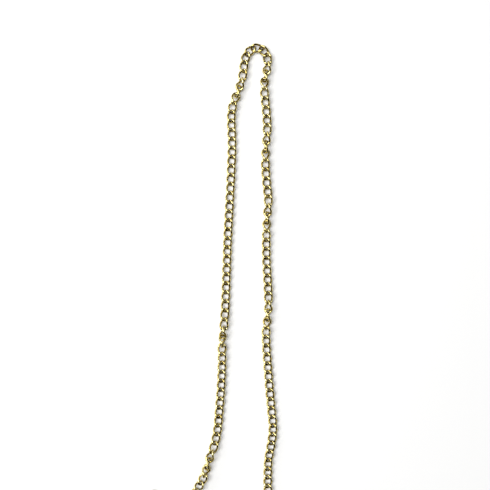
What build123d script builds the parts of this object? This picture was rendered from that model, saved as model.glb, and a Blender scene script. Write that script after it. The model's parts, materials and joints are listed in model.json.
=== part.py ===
from build123d import *
import os
from math import acos, atan2, cos, degrees, hypot, radians, sin

# Pocket watch chain, laid on a flat surface as a long narrow hairpin.
# Millimetres, +Z up, z = 0 on the surface, origin at the middle of the footprint.
# The chain is 105 separate curb links. Its left end has a T-bar for the waistcoat
# buttonhole, its right end a swivel clasp for the bow of the watch.

# ---- curb link -------------------------------------------------------------
WIRE = 0.7  # diameter of the link wire
LINK_WIDTH = 3.1  # outside width of a link
LINK_LENGTH = 4.6  # outside length of a link
LINK_SLACK = 0.2  # play along the chain where two links hook into each other
LINK_PITCH = LINK_LENGTH - 2 * WIRE - LINK_SLACK  # from one joint to the next
END_HALF = 0.87  # half length of the straight-sided end, before rounding
END_TWIST = 45  # tilt of each end out of the link's plane, degrees
SIDE_HALF = 0.8  # half length of the sloping side, before rounding
SIDE_SLOPE = 46  # slope of the side wire, degrees
END_RADIUS = 0.85  # bend radius of the wire where end meets side
SIDE_RADIUS = 1.6  # bend radius of the wire at the side

# ---- how the chain lies ----------------------------------------------------
LINKS_PER_LEG = 52  # links on each side of the one at the bend
LINKS_PER_RUN = 2  # links that share one node
FLAT_CORE = 0.6  # half the height of a flat link's wire, to the middle of the wire
FLAT_HEIGHT = FLAT_CORE + WIRE / 2  # middle of a link that lies flat
EDGE_LIFT = 0.03  # clearance under a link that stands on its edge
EDGE_HEIGHT = LINK_WIDTH / 2 + EDGE_LIFT  # middle of a link that stands on its edge
FLIP_LINKS = 3.6  # links over which the chain turns over
FLIP_TOP = 1.5  # links each side of a flip that stay at full height
FLIP_RAMP = 2.4  # links over which the height falls away again
END_LIFT = 0.37  # rise of the last joint to the middle of its ring
END_RAMP = 2.5  # links over which the chain rises to its ring
FOOTPRINT_SHIFT = (10.0, 13.1)  # puts the origin at the middle of the footprint

ROUTE_PITCH = 3.0  # the route's places are given for links this far apart

# Where the middle of some links lies: link number, x, y. Link 0 is at the bend,
# the left leg counts down and the right leg counts up.
ROUTE = [
    (-52.5, -17.6, -76.5),
    (-51, -15.4, -72.7),
    (-50, -13.9, -70.2),
    (-49, -13.1, -67.5),
    (-47, -11.5, -62.4),
    (-46, -10.3, -59.6),
    (-44, -9.1, -53.8),
    (-42, -8.6, -47.9),
    (-39, -7.9, -39.0),
    (-36, -7.6, -30.0),
    (-34, -7.6, -24.2),
    (-32, -6.9, -18.5),
    (-29, -6.4, -9.5),
    (-23, -5.8, 8.5),
    (-19, -5.2, 20.5),
    (-15, -4.6, 32.6),
    (-12, -4.3, 41.6),
    (-9, -4.6, 50.5),
    (-7.5, -3.9, 54.9),
    (-6.5, -2.8, 57.4),
    (-5, -1.5, 61.2),
    (-4, -0.7, 64.1),
    (-3, -0.4, 67.1),
    (-2, 0.0, 70.0),
    (-1, 1.5, 72.5),
    (0, 4.1, 73.6),
    (1, 6.6, 72.2),
    (2, 7.6, 69.5),
    (3, 7.4, 66.5),
    (4, 6.8, 63.8),
    (5, 6.3, 61.1),
    (6, 6.5, 58.1),
    (8, 7.1, 52.1),
    (10, 7.4, 46.1),
    (12, 6.9, 40.3),
    (14, 6.8, 34.4),
    (16, 7.2, 28.4),
    (18, 7.8, 22.4),
    (20, 7.3, 16.6),
    (22, 7.1, 10.9),
    (25, 7.2, 2.0),
    (29, 7.8, -9.8),
    (31, 7.6, -15.6),
    (33, 7.0, -21.3),
    (36, 7.4, -30.2),
    (39, 8.1, -39.1),
    (42, 8.9, -48.0),
    (44, 9.4, -53.9),
    (46, 8.6, -59.6),
    (47.5, 7.8, -63.9),
    (50, 7.6, -71.0),
    (52.5, 7.7, -78.4),
]
FLIPS = [-48, -33.5, -6, 4, 12, 20, 31]  # links at which the chain turns over

# ---- jump rings ------------------------------------------------------------
RING_WIRE = 0.75
RING_RADIUS = 1.8  # to the middle of the wire
BAR_RING_TILT = -20  # tilt of the T-bar's ring about the chain's line, degrees
CLASP_RING_TILT = -30  # tilt of the clasp's ring
RING_SPLIT = 3  # gap where the ring closes, degrees of arc
RING_SPLIT_AT = 100  # where along the ring that gap is, degrees
HOOKED_GAP = 0.15  # slack between two wires that hook into each other

# ---- T-bar -----------------------------------------------------------------
BAR_LENGTH = 26.0
BAR_RADIUS = 1.4
BAR_DOME = 0.7  # rounding of the bar's ends
BAR_GROOVE = 0.2  # radius of the turned grooves
BAR_GROOVE_AT = 1.9  # from the middle of the bar to each groove
BAR_EYE_RADIUS = 1.05  # to the middle of the wire
BAR_EYE_WIRE = 0.7
BAR_EYE_DEPTH = 0.3  # how deep the middle of the eye's buried wire is in the bar
BAR_EYE_SEAT = BAR_RADIUS - BAR_EYE_DEPTH  # from the bar's axis to that wire
BAR_PITCH = 2.1  # the eye points up from the bar by this, degrees
BAR_RING_RISE = 0.2  # rise from the chain's last joint to the eye

# ---- swivel and clasp ------------------------------------------------------
SWIVEL_EYE_RADIUS = 1.2  # to the middle of the wire
SWIVEL_EYE_WIRE = 0.8
SWIVEL_EYE_TILT = 60  # turn of the eye about the swivel's axis, degrees
COLLAR_RADIUS = 1.0
COLLAR_LENGTH = 0.9
COLLAR_BITE = 0.3  # how far the collar runs into the eye's wire
STEM_RADIUS = 0.6
HEAD_RADIUS = 0.9
HEAD_LENGTH = 0.6
TURN_GAP = 0.05  # radial clearance of the turning stem
END_GAP = 0.1  # end clearance of the turning stem
BARREL_RADIUS = 1.7
BARREL_LENGTH = 3.4
BARREL_WALL = 1.4  # end wall that holds the stem
CHAMBER_GAP = 0.15
CHAMBER_RADIUS = HEAD_RADIUS + CHAMBER_GAP  # room for the head of the stem
HOOK_THICKNESS = 3.0
CLASP_HEIGHT = max(BARREL_RADIUS, HOOK_THICKNESS / 2)  # clasp axis above the surface
HOOK_MIDDLE = 10.3  # from the barrel's end to the middle of the oval
HOOK_HALF_WIDTH = 4.6
HOOK_HALF_LENGTH = 6.6
OPENING_OFFSET = (0.2, -0.1)  # middle of the opening from the middle of the oval
OPENING_HALF_WIDTH = 2.8
OPENING_HALF_LENGTH = 4.7
MOUTH_BOTTOM = 6.0  # the hook's own wall is cut away from here
MOUTH_TOP = 12.7  # to here, and the gate closes it
MOUTH_INSIDE = 1.2  # x of the inner side of the cut
PIVOT = (3.0, 4.7)  # gate pin, across and along the clasp
PIN_RADIUS = 0.4
EAR_RADIUS = 1.45
SLOT_HALF = 0.9  # half width of the slot between the ears
SLOT_RADIUS = 1.9
KNUCKLE_RADIUS = 1.1
KNUCKLE_LOW = -0.82  # knuckle of the gate, from here
KNUCKLE_HIGH = 0.3  # to here across the slot
NECK_RADIUS = 2.2  # the gate is full thickness outside this distance from the pin
NECK_LENGTH = 2.6
NECK_HALF_WIDTH = 0.75
GATE_THICKNESS = 2.6
GATE_TOP_GAP = 0.25
TONGUE_REACH = 0.45
TONGUE_HIGH = MOUTH_TOP + TONGUE_REACH  # top of the tongue behind the hook's tip
TONGUE_LOW = 11.4
TONGUE_LEFT = 1.7
TONGUE_RIGHT = 2.3
SPRING_WIRE = 0.3
SPRING_PIN_GAP = 0.05
SPRING_COIL_RADIUS = PIN_RADIUS + SPRING_WIRE / 2 + SPRING_PIN_GAP  # to the middle of the wire
SPRING_LEVEL = 0.57  # spring's plane, above the knuckle
SPRING_FIXED_LEG = 1.7
SPRING_FIXED_ANGLE = -100  # where the resting leg meets the coil, degrees
SPRING_TIP = (1.6, 7.1)  # end that presses on the gate

UP = Vector(0, 0, 1)
SIDE_MIDDLE = (LINK_WIDTH - WIRE) / 2  # half width to the middle of the wire
END_MIDDLE = (LINK_LENGTH - WIRE) / 2  # half length to the middle of the wire
ROUTE_SCALE = LINK_PITCH / ROUTE_PITCH  # a longer link makes a longer chain


# ---- the chain's route -----------------------------------------------------
def slope(place, column):
    """How fast x or y changes per link at one of the route's places."""
    before = ROUTE[max(place - 1, 0)]
    after = ROUTE[min(place + 1, len(ROUTE) - 1)]
    return (after[column] - before[column]) / (after[0] - before[0])


def route_point(number):
    """x and y at a link number, on a smooth curve through the route's places."""
    place = max(k for k in range(len(ROUTE) - 1) if k == 0 or ROUTE[k][0] <= number)
    start, end = ROUTE[place], ROUTE[place + 1]
    span = end[0] - start[0]
    u = (number - start[0]) / span
    found = []
    for column in (1, 2):
        found.append(
            (2 * u**3 - 3 * u**2 + 1) * start[column]
            + (u**3 - 2 * u**2 + u) * span * slope(place, column)
            + (3 * u**2 - 2 * u**3) * end[column]
            + (u**3 - u**2) * span * slope(place + 1, column)
        )
    x, y = found[0] + FOOTPRINT_SHIFT[0], found[1] + FOOTPRINT_SHIFT[1]
    return x * ROUTE_SCALE, y * ROUTE_SCALE


def roll_at(number):
    """How far the chain has turned over about its own line, in degrees."""
    shares = [(number - middle) / FLIP_LINKS + 0.5 for middle in FLIPS]
    return sum(180 * min(max(share, 0), 1) for share in shares)


def height_at(number):
    """Height of the chain's line: higher where links stand on edge, and at its ends."""
    nearest = min(abs(number - middle) for middle in FLIPS)
    raised = min(max((FLIP_TOP + FLIP_RAMP - nearest) / FLIP_RAMP, 0), 1)
    last_flat = LINKS_PER_LEG + 0.5 - END_RAMP
    ending = min(max((abs(number) - last_flat) / END_RAMP, 0), 1)
    return FLAT_HEIGHT + (EDGE_HEIGHT - FLAT_HEIGHT) * raised * (1 - ending) + END_LIFT * ending


def chain_point(number):
    """A point on the chain's line. Links hook into each other at the half numbers."""
    x, y = route_point(number)
    return Vector(x, y, height_at(number))


def link_plane(number):
    """Plane of one link: its local Y runs along the chain and its local Z is its normal."""
    start, end = chain_point(number - 0.5), chain_point(number + 0.5)
    along = (end - start).normalized()
    across = along.cross(UP).normalized()
    normal = across.cross(along)
    roll = roll_at(number)
    x_dir = across * cos(radians(roll)) - normal * sin(radians(roll))
    return Plane(origin=(start + end) * 0.5, x_dir=x_dir, z_dir=x_dir.cross(along))


def end_plane(side):
    """Plane at the chain's last joint: local Y points away from the chain, Z is up."""
    last = chain_point(side * (LINKS_PER_LEG + 0.5))
    before = chain_point(side * (LINKS_PER_LEG - 0.5))
    away = Vector(last.X - before.X, last.Y - before.Y, 0).normalized()
    return Plane(origin=last, x_dir=away.cross(UP), z_dir=UP)


# ---- curb link, made once and placed 105 times -----------------------------
def link_corners():
    """Corners of half of the link's wire, from the left side round one end to the right."""
    twist, rise = radians(END_TWIST), radians(SIDE_SLOPE)
    side_y, side_z = SIDE_HALF * cos(rise), SIDE_HALF * sin(rise)
    end_x, end_z = END_HALF * cos(twist), END_HALF * sin(twist)
    return [
        (-SIDE_MIDDLE, 0, 0),
        (-SIDE_MIDDLE, side_y, -side_z),
        (-end_x, END_MIDDLE, -end_z),
        (end_x, END_MIDDLE, end_z),
        (SIDE_MIDDLE, side_y, side_z),
        (SIDE_MIDDLE, 0, 0),
    ]


with BuildPart() as half_link:
    with BuildLine() as half_wire:
        FilletPolyline(*link_corners(), radius=[SIDE_RADIUS, END_RADIUS, END_RADIUS, SIDE_RADIUS])
    with BuildSketch(Plane(origin=half_wire.line @ 0, z_dir=half_wire.line % 0)):
        Circle(WIRE / 2)
    sweep()

with BuildPart() as link:
    add(half_link.part)
    add(half_link.part.rotate(Axis.X, 180))


def link_runs():
    """Each node's name with its link numbers. The middle run and the last of each leg have three."""
    runs = {"link_run_middle": [-1, 0, 1]}
    for side_name, side in (("left", -1), ("right", 1)):
        number, count = 2, 1
        while number <= LINKS_PER_LEG:
            left_over = LINKS_PER_LEG + 1 - number
            size = left_over if left_over < 2 * LINKS_PER_RUN else LINKS_PER_RUN
            runs[f"link_run_{side_name}_{count:02d}"] = [side * (number + k) for k in range(size)]
            number += size
            count += 1
    return runs


def make_run(name, numbers):
    """One node: neighbouring links, each its own solid."""
    with BuildPart() as run:
        with Locations(*[link_plane(number) for number in numbers]):
            add(link.part)
    run.part.label = name
    return run.part


# ---- rings and eyes --------------------------------------------------------
def tilted(plane, degrees_up):
    """Direction across the chain's end, turned up from the surface about the chain's line."""
    return plane.x_dir * cos(radians(degrees_up)) + plane.z_dir * sin(radians(degrees_up))


def ring_plane(near, far, tangent):
    """Plane of a ring whose wire passes through two opposite points, crossing in one direction."""
    along = (far - near).normalized()
    return Plane(origin=(near + far) * 0.5, x_dir=along, z_dir=along.cross(tangent))


def jump_ring_plane(side, rise, tilt):
    """Plane of the ring hooked into the last link of one leg. Its far side is higher by rise."""
    end = end_plane(side)
    near = end.from_local_coords(Vector(0, RING_START, 0))
    far = end.from_local_coords(Vector(0, RING_START + 2 * RING_RADIUS, rise))
    return ring_plane(near, far, tilted(end, tilt))


def make_jump_ring(name, plane):
    """A ring of round wire, bent shut, with the fine split where its ends meet."""
    with BuildPart() as ring:
        with BuildLine(plane) as path:
            CenterArc((0, 0), RING_RADIUS, RING_SPLIT_AT, 360 - RING_SPLIT)
        with BuildSketch(Plane(origin=path.line @ 0, z_dir=path.line % 0)):
            Circle(RING_WIRE / 2)
        sweep()
    ring.part.label = name
    return ring.part


# The wire at the end of a link lies this far past the joint.
LINK_REACH = END_MIDDLE - LINK_PITCH / 2
RING_START = LINK_REACH - (WIRE + RING_WIRE) / 2 - HOOKED_GAP
RING_END = RING_START + 2 * RING_RADIUS
LEFT_END, RIGHT_END = end_plane(-1), end_plane(1)

bar_ring_plane = jump_ring_plane(-1, BAR_RING_RISE, BAR_RING_TILT)
t_bar_jump_ring = make_jump_ring("t_bar_jump_ring", bar_ring_plane)
CLASP_RISE = CLASP_HEIGHT - RIGHT_END.origin.Z
clasp_ring_plane = jump_ring_plane(1, CLASP_RISE, CLASP_RING_TILT)
clasp_jump_ring = make_jump_ring("clasp_jump_ring", clasp_ring_plane)


# ---- T-bar -----------------------------------------------------------------
BAR_EYE_MIDDLE = BAR_EYE_SEAT + BAR_EYE_RADIUS  # from the bar's axis
BAR_EYE_START = RING_END - (RING_WIRE + BAR_EYE_WIRE) / 2 - HOOKED_GAP
BAR_OUT = BAR_EYE_START + (BAR_EYE_MIDDLE + BAR_EYE_RADIUS) * cos(radians(BAR_PITCH))
bar_middle = LEFT_END.from_local_coords(Vector(0, BAR_OUT, BAR_RADIUS - LEFT_END.origin.Z))
to_chain = LEFT_END.y_dir * -cos(radians(BAR_PITCH)) + UP * sin(radians(BAR_PITCH))
bar_plane = Plane(origin=bar_middle, x_dir=to_chain, z_dir=LEFT_END.x_dir)

with BuildPart(bar_plane) as t_bar:
    Cylinder(BAR_RADIUS, BAR_LENGTH)
    fillet(t_bar.edges().filter_by(GeomType.CIRCLE), BAR_DOME)
    with Locations((0, 0, BAR_GROOVE_AT), (0, 0, -BAR_GROOVE_AT)):
        Torus(BAR_RADIUS, BAR_GROOVE, mode=Mode.SUBTRACT)
t_bar.part.label = "t_bar"

with BuildPart(bar_plane) as t_bar_eye:
    with Locations((BAR_EYE_MIDDLE, 0, 0)):
        Torus(BAR_EYE_RADIUS, BAR_EYE_WIRE / 2, rotation=(0, 0, 180))
    Cylinder(BAR_RADIUS, BAR_LENGTH, mode=Mode.SUBTRACT)
t_bar_eye.part.label = "t_bar_eye"


# ---- swivel ----------------------------------------------------------------
SWIVEL_START = RING_END - (RING_WIRE + SWIVEL_EYE_WIRE) / 2 - HOOKED_GAP
SWIVEL_EYE_MIDDLE = SWIVEL_START + SWIVEL_EYE_RADIUS
SWIVEL_EYE_END = SWIVEL_EYE_MIDDLE + SWIVEL_EYE_RADIUS + SWIVEL_EYE_WIRE / 2
COLLAR_START = SWIVEL_EYE_END - COLLAR_BITE
CLASP_START = COLLAR_START + COLLAR_LENGTH + END_GAP
clasp_plane = Plane(
    origin=RIGHT_END.from_local_coords(Vector(0, CLASP_START, CLASP_RISE)),
    x_dir=RIGHT_END.x_dir,
    z_dir=UP,
)
ALONG = (-90, 0, 0)  # turns a cylinder's axis from local Z to local Y
FROM_BASE = (Align.CENTER, Align.CENTER, Align.MIN)

with BuildPart(clasp_plane) as clasp_swivel:
    with Locations((0, SWIVEL_EYE_MIDDLE - CLASP_START, 0)):
        Torus(SWIVEL_EYE_RADIUS, SWIVEL_EYE_WIRE / 2, rotation=(0, -SWIVEL_EYE_TILT, 0))
    with Locations((0, COLLAR_START - CLASP_START, 0)):
        Cylinder(COLLAR_RADIUS, COLLAR_LENGTH, rotation=ALONG, align=FROM_BASE)
    with Locations((0, -END_GAP, 0)):
        Cylinder(STEM_RADIUS, BARREL_WALL + 2 * END_GAP, rotation=ALONG, align=FROM_BASE)
    with Locations((0, BARREL_WALL + END_GAP, 0)):
        Cylinder(HEAD_RADIUS, HEAD_LENGTH, rotation=ALONG, align=FROM_BASE)
clasp_swivel.part.label = "clasp_swivel"


# ---- clasp hook, with the barrel that the swivel turns in ------------------
OPENING = (OPENING_OFFSET[0], HOOK_MIDDLE + OPENING_OFFSET[1])
MOUTH = ((MOUTH_INSIDE + HOOK_HALF_WIDTH) / 2 + 1, (MOUTH_BOTTOM + MOUTH_TOP) / 2)

with BuildPart(clasp_plane) as clasp_hook:
    with BuildSketch(clasp_plane):
        with Locations((0, HOOK_MIDDLE)):
            Ellipse(HOOK_HALF_WIDTH, HOOK_HALF_LENGTH)
        with Locations((0, BARREL_LENGTH)):
            Rectangle(2 * BARREL_RADIUS, BARREL_LENGTH)
        with Locations(OPENING):
            Ellipse(OPENING_HALF_WIDTH, OPENING_HALF_LENGTH, mode=Mode.SUBTRACT)
        with Locations(MOUTH):
            Rectangle(
                HOOK_HALF_WIDTH - MOUTH_INSIDE + 2, MOUTH_TOP - MOUTH_BOTTOM, mode=Mode.SUBTRACT
            )
        with Locations(PIVOT):
            Circle(EAR_RADIUS)
    extrude(amount=HOOK_THICKNESS / 2, both=True)
    Cylinder(BARREL_RADIUS, BARREL_LENGTH, rotation=ALONG, align=FROM_BASE)
    Cylinder(STEM_RADIUS + TURN_GAP, BARREL_WALL, rotation=ALONG, align=FROM_BASE, mode=Mode.SUBTRACT)
    with Locations((0, BARREL_WALL, 0)):
        Cylinder(
            CHAMBER_RADIUS,
            HOOK_MIDDLE - BARREL_WALL,
            rotation=ALONG,
            align=FROM_BASE,
            mode=Mode.SUBTRACT,
        )
    with Locations(PIVOT):
        Cylinder(SLOT_RADIUS, 2 * SLOT_HALF, mode=Mode.SUBTRACT)
        Cylinder(PIN_RADIUS, HOOK_THICKNESS, mode=Mode.SUBTRACT)
clasp_hook.part.label = "clasp_hook"


# ---- gate, its pin and its spring ------------------------------------------
GATE_TOP = MOUTH_TOP - GATE_TOP_GAP

with BuildPart(clasp_plane) as clasp_gate:
    with BuildSketch(clasp_plane) as gate_outline:
        with Locations((0, HOOK_MIDDLE)):
            Ellipse(HOOK_HALF_WIDTH, HOOK_HALF_LENGTH)
        with Locations(OPENING):
            Ellipse(OPENING_HALF_WIDTH, OPENING_HALF_LENGTH, mode=Mode.SUBTRACT)
        with Locations((MOUTH_INSIDE, PIVOT[1])):
            Rectangle(HOOK_HALF_WIDTH, GATE_TOP - PIVOT[1], align=Align.MIN, mode=Mode.INTERSECT)
        with Locations((TONGUE_LEFT, TONGUE_LOW)):
            Rectangle(TONGUE_RIGHT - TONGUE_LEFT, TONGUE_HIGH - TONGUE_LOW, align=Align.MIN)
            Rectangle(PIVOT[0] - TONGUE_LEFT, GATE_TOP - TONGUE_LOW, align=Align.MIN)
        with Locations(PIVOT):
            Circle(NECK_RADIUS, mode=Mode.SUBTRACT)
    extrude(amount=GATE_THICKNESS / 2, both=True)
    with BuildSketch(clasp_plane.offset(KNUCKLE_LOW)):
        with Locations(PIVOT):
            Circle(KNUCKLE_RADIUS)
        with Locations((PIVOT[0], PIVOT[1] + NECK_LENGTH / 2)):
            Rectangle(2 * NECK_HALF_WIDTH, NECK_LENGTH)
    extrude(amount=KNUCKLE_HIGH - KNUCKLE_LOW)
    with Locations(PIVOT):
        Cylinder(PIN_RADIUS + TURN_GAP, HOOK_THICKNESS, mode=Mode.SUBTRACT)
clasp_gate.part.label = "clasp_gate"

with BuildPart(clasp_plane) as gate_pin:
    with Locations(PIVOT):
        Cylinder(PIN_RADIUS, HOOK_THICKNESS)
gate_pin.part.label = "gate_pin"


def round_the_pin(angle, along=0):
    """A point on the spring's coil at an angle, or further along the coil's tangent there."""
    turn = radians(angle)
    return (
        PIVOT[0] + SPRING_COIL_RADIUS * cos(turn) - along * sin(turn),
        PIVOT[1] + SPRING_COIL_RADIUS * sin(turn) + along * cos(turn),
    )


reach_x, reach_y = SPRING_TIP[0] - PIVOT[0], SPRING_TIP[1] - PIVOT[1]
PRESSING_ANGLE = degrees(atan2(reach_y, reach_x) - acos(SPRING_COIL_RADIUS / hypot(reach_x, reach_y)))
spring_plane = clasp_plane.offset(SPRING_LEVEL)

with BuildPart() as gate_spring:
    with BuildLine(spring_plane) as spring_wire:
        Line(round_the_pin(SPRING_FIXED_ANGLE, -SPRING_FIXED_LEG), round_the_pin(SPRING_FIXED_ANGLE))
        CenterArc(PIVOT, SPRING_COIL_RADIUS, SPRING_FIXED_ANGLE, PRESSING_ANGLE - SPRING_FIXED_ANGLE)
        Line(round_the_pin(PRESSING_ANGLE), SPRING_TIP)
    with BuildSketch(Plane(origin=spring_wire.line @ 0, z_dir=spring_wire.line % 0)):
        Circle(SPRING_WIRE / 2)
    sweep()
gate_spring.part.label = "gate_spring"


# ---- write every node ------------------------------------------------------
runs = [make_run(name, numbers) for name, numbers in link_runs().items()]
t_bar_pieces = [t_bar.part, t_bar_eye.part, t_bar_jump_ring]
clasp_pieces = [
    clasp_jump_ring,
    clasp_swivel.part,
    clasp_hook.part,
    clasp_gate.part,
    gate_pin.part,
    gate_spring.part,
]
os.makedirs("parts", exist_ok=True)
for piece in runs + t_bar_pieces + clasp_pieces:
    export_step(piece, f"parts/{piece.label}.step")
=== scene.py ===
import json

import bmesh
import bpy
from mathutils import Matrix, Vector


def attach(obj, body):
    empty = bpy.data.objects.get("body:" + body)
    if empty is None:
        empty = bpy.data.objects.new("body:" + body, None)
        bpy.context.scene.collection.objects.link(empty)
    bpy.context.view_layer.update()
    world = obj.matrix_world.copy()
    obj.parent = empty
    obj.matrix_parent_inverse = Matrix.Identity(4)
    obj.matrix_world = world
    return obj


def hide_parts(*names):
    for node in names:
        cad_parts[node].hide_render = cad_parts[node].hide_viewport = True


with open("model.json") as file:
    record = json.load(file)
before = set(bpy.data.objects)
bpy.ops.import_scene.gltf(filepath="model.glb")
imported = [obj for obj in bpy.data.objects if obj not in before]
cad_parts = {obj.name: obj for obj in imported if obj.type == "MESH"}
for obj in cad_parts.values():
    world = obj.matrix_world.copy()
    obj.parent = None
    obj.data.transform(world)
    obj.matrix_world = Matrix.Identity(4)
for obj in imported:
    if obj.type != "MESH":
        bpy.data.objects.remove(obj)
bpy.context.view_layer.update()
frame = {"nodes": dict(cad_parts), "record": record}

# Metres, in the model's own frame: +Z up, z = 0 on the surface the chain lies on.

# ---- how the camera sees the chain ------------------------------------------
VIEW_CENTRE = (0.0100, 0.0208)  # point on the surface under the camera
VIEW_WIDTH = 0.1637  # width of surface in the picture
LENS = 60.0  # millimetres, on a 36 mm sensor
SENSOR = 36.0

# ---- colours ----------------------------------------------------------------
GOLD_BRIGHT = (0.84, 0.74, 0.36, 1)
GOLD_DEEP = (0.54, 0.42, 0.12, 1)
# near-black colour for tarnish and painted shade, laid into recesses
TARNISH_AND_SHADE = (0.07, 0.04, 0.006, 1)
STEEL_BRIGHT = (0.72, 0.71, 0.68, 1)
STEEL_DEEP = (0.50, 0.49, 0.47, 1)
FLOOR_COLOUR = (0.93, 0.93, 0.925, 1)

# ---- metal: features per metre, and depths in metres --------------------------
CLOUD_SCALE = 420
PATCH_SCALE = 1500
DULL_SCALE = 2600
HAIRLINE_SCALE = 900
HAIRLINE_STRETCH = (1, 14, 9)
HAIRLINE_TURN = (0.4, 0.3, 0.9)
HAIRLINE_DEPTH = 0.00002
DENT_SCALE = 1100
DENT_DEPTH = 0.00005
RECESS_REACH = 0.0015  # how near another surface has to be for the tarnish and painted shade to show
RECESS_SAMPLES = 6

# ---- castings: even mesh size, and rounds of rubbing down ---------------------
HOOK_VOXEL, HOOK_ROUNDS = 0.00011, 6
GATE_VOXEL, GATE_ROUNDS = 0.00009, 5

# ---- floor, lamps and room ----------------------------------------------------
FLOOR_HALF = 1.6
FLOOR_LEVEL = -0.00002  # just under the surface, so that nothing flickers
FLOOR_ROUGHNESS = 0.75
FLOOR_SHEEN = 0.2
OVERHEAD_PLACE, OVERHEAD_SIZE, OVERHEAD_POWER = (-0.34, 0.10, 0.95), (0.75, 0.95), 13.8
LEFT_PLACE, LEFT_SIZE, LEFT_POWER = (-0.85, 0.75, 0.42), (0.9, 0.5), 5.5
ROOM_STRENGTH = 0.012  # a dark room, which polished wire shows as dark sides


def new_material(name):
    material = bpy.data.materials.new(name)
    material.use_nodes = True
    nodes, links = material.node_tree.nodes, material.node_tree.links
    shader = next(n for n in nodes if n.type == "BSDF_PRINCIPLED")
    return material, nodes, links, shader


def noise(nodes, links, vector, scale, detail, roughness=0.5):
    """A noise texture. Its scale is features per metre."""
    node = nodes.new("ShaderNodeTexNoise")
    node.inputs["Scale"].default_value = scale
    node.inputs["Detail"].default_value = detail
    node.inputs["Roughness"].default_value = roughness
    links.new(vector, node.inputs["Vector"])
    return node.outputs["Fac"]


def spread(nodes, links, value, low, high, to_low, to_high):
    """Maps one range of a value to another, without going past its ends."""
    node = nodes.new("ShaderNodeMapRange")
    node.inputs["From Min"].default_value = low
    node.inputs["From Max"].default_value = high
    node.inputs["To Min"].default_value = to_low
    node.inputs["To Max"].default_value = to_high
    links.new(value, node.inputs["Value"])
    return node.outputs["Result"]


def mix_colour(nodes, links, share, first, second):
    node = nodes.new("ShaderNodeMix")
    node.data_type = "RGBA"
    links.new(share, node.inputs["Factor"])
    colour_sockets = [s for s in node.inputs if s.type == "RGBA"]
    for socket, colour in zip(colour_sockets, (first, second)):
        if isinstance(colour, tuple):
            socket.default_value = colour
        else:
            links.new(colour, socket)
    return next(s for s in node.outputs if s.type == "RGBA")


def metal(name, bright, deep, tarnish_and_shade, smooth, dull, scratch):
    """Metal with cloudy colour, dull patches, hairlines, and tarnish with painted shade in its
    recesses.

    smooth and dull are its roughness where it is best and least polished, and
    scratch is how strongly the hairlines and dents show.
    """
    material, nodes, links, shader = new_material(name)
    place = nodes.new("ShaderNodeTexCoord").outputs["Object"]
    clouds = spread(nodes, links, noise(nodes, links, place, CLOUD_SCALE, 4), 0.35, 0.65, 0, 1)
    colour = mix_colour(nodes, links, clouds, bright, deep)
    # painted shade: ambient occlusion darkens the colour towards the tarnish colour in recesses
    # and between parts, where shade falls, broken up by patches like tarnish
    recess = nodes.new("ShaderNodeAmbientOcclusion")
    recess.samples = RECESS_SAMPLES
    recess.inputs["Distance"].default_value = RECESS_REACH
    patch = noise(nodes, links, place, PATCH_SCALE, 5)
    shaded_recess = spread(nodes, links, recess.outputs["AO"], 0.25, 0.9, 1, 0)
    tarnish_and_shade_mask = nodes.new("ShaderNodeMath")
    tarnish_and_shade_mask.operation = "MULTIPLY"
    links.new(shaded_recess, tarnish_and_shade_mask.inputs[0])
    blotchy = spread(nodes, links, patch, 0.3, 0.6, 0.6, 1)
    links.new(blotchy, tarnish_and_shade_mask.inputs[1])
    colour = mix_colour(nodes, links, tarnish_and_shade_mask.outputs[0], colour, tarnish_and_shade)
    links.new(colour, shader.inputs["Base Color"])
    shader.inputs["Metallic"].default_value = 1.0
    worn = noise(nodes, links, place, DULL_SCALE, 6, 0.6)
    rough = spread(nodes, links, worn, 0.3, 0.72, smooth, dull)
    links.new(rough, shader.inputs["Roughness"])
    stretched = nodes.new("ShaderNodeMapping")
    stretched.inputs["Rotation"].default_value = HAIRLINE_TURN
    stretched.inputs["Scale"].default_value = HAIRLINE_STRETCH
    links.new(place, stretched.inputs["Vector"])
    hairlines = noise(nodes, links, stretched.outputs["Vector"], HAIRLINE_SCALE, 3, 0.7)
    bump = nodes.new("ShaderNodeBump")
    bump.inputs["Strength"].default_value = scratch
    bump.inputs["Distance"].default_value = HAIRLINE_DEPTH
    links.new(hairlines, bump.inputs["Height"])
    dents = nodes.new("ShaderNodeBump")
    dents.inputs["Strength"].default_value = scratch
    dents.inputs["Distance"].default_value = DENT_DEPTH
    links.new(noise(nodes, links, place, DENT_SCALE, 2), dents.inputs["Height"])
    links.new(bump.outputs["Normal"], dents.inputs["Normal"])
    links.new(dents.outputs["Normal"], shader.inputs["Normal"])
    return material


finishes = {
    "gilt_brass": metal("gilt_brass_polished", GOLD_BRIGHT, GOLD_DEEP, TARNISH_AND_SHADE, 0.04, 0.13, 0.2),
    "pin_steel": metal("pin_steel_turned", STEEL_BRIGHT, STEEL_DEEP, TARNISH_AND_SHADE, 0.18, 0.34, 0.4),
    "spring_steel": metal("spring_steel_drawn", STEEL_BRIGHT, STEEL_DEEP, TARNISH_AND_SHADE, 0.2, 0.38, 0.5),
}
slots = {part["node"]: part["material_slot"] for part in frame["record"]["subparts"]}
for node, shape in frame["nodes"].items():
    for place in shape.material_slots:
        place.material = finishes[slots[node]]


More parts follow.
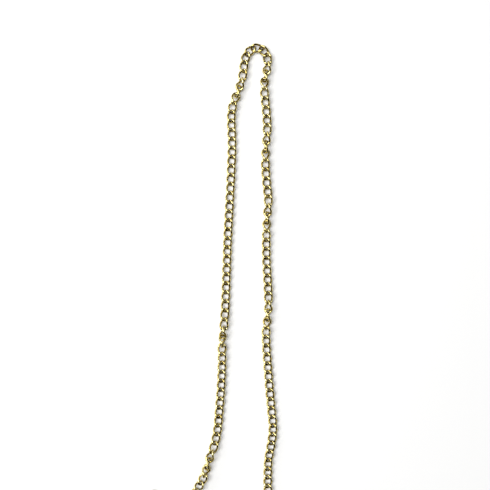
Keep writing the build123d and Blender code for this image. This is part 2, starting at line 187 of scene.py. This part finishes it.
# ---- cast pieces, with the rounded edges of a tumbled casting ---------------
def softened(node, body, voxel, rounds):
    """The node's shape remade as an even mesh, with its edges rubbed down."""
    mesh = frame["nodes"][node].data.copy()
    piece = bpy.data.objects.new(f"{node}_cast", mesh)
    bpy.context.scene.collection.objects.link(piece)
    remesh = piece.modifiers.new("even", "REMESH")
    remesh.mode = "VOXEL"
    remesh.voxel_size = voxel
    remesh.use_smooth_shade = True
    rubbed = piece.modifiers.new("rubbed", "SMOOTH")
    rubbed.factor = 0.5
    rubbed.iterations = rounds
    view = bpy.context.evaluated_depsgraph_get()
    made = bpy.data.meshes.new_from_object(piece.evaluated_get(view))
    piece.modifiers.clear()
    piece.data = made
    made.name = piece.name
    for face in made.polygons:
        face.use_smooth = True
    made.materials.clear()
    made.materials.append(finishes[slots[node]])
    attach(piece, body)
    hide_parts(node)


softened("clasp_hook", "clasp", HOOK_VOXEL, HOOK_ROUNDS)
softened("clasp_gate", "clasp_gate", GATE_VOXEL, GATE_ROUNDS)


# ---- floor -------------------------------------------------------------------
floor_mesh = bpy.data.meshes.new("floor")
sheet = bmesh.new()
bmesh.ops.create_grid(sheet, x_segments=1, y_segments=1, size=FLOOR_HALF)
sheet.to_mesh(floor_mesh)
sheet.free()
floor = bpy.data.objects.new("floor", floor_mesh)
floor.location = (*VIEW_CENTRE, FLOOR_LEVEL)
bpy.context.scene.collection.objects.link(floor)
paper, _, _, shader = new_material("pale_paper")
shader.inputs["Base Color"].default_value = FLOOR_COLOUR
shader.inputs["Roughness"].default_value = FLOOR_ROUGHNESS
shader.inputs["Specular IOR Level"].default_value = FLOOR_SHEEN
floor_mesh.materials.append(paper)


# ---- light -------------------------------------------------------------------
def softbox(name, place, size, power):
    """A rectangular white lamp that faces the middle of the view."""
    lamp = bpy.data.lights.new(name, "AREA")
    lamp.shape = "RECTANGLE"
    lamp.size, lamp.size_y = size
    lamp.energy = power
    holder = bpy.data.objects.new(name, lamp)
    holder.location = place
    aim = Vector((*VIEW_CENTRE, 0)) - Vector(place)
    holder.rotation_mode = "QUATERNION"
    holder.rotation_quaternion = aim.to_track_quat("-Z", "Y")
    bpy.context.scene.collection.objects.link(holder)


softbox("overhead_softbox", OVERHEAD_PLACE, OVERHEAD_SIZE, OVERHEAD_POWER)
softbox("left_softbox", LEFT_PLACE, LEFT_SIZE, LEFT_POWER)

world = bpy.data.worlds.new("studio")
world.use_nodes = True
backdrop = next(n for n in world.node_tree.nodes if n.type == "BACKGROUND")
backdrop.inputs["Color"].default_value = (1, 1, 1, 1)
backdrop.inputs["Strength"].default_value = ROOM_STRENGTH
bpy.context.scene.world = world
bpy.context.scene.view_settings.view_transform = "Standard"

# ---- camera ------------------------------------------------------------------
lens = bpy.data.cameras.new("camera")
lens.type = "PERSP"
lens.sensor_width = SENSOR
lens.lens = LENS
lens.dof.use_dof = False
lens.clip_start = 0.005  # metres, so that close views of the clasp are not cut
camera = bpy.data.objects.new("camera", lens)
camera.location = (*VIEW_CENTRE, VIEW_WIDTH * LENS / SENSOR)
camera.rotation_euler = (0, 0, 0)
bpy.context.scene.collection.objects.link(camera)
bpy.context.scene.camera = camera
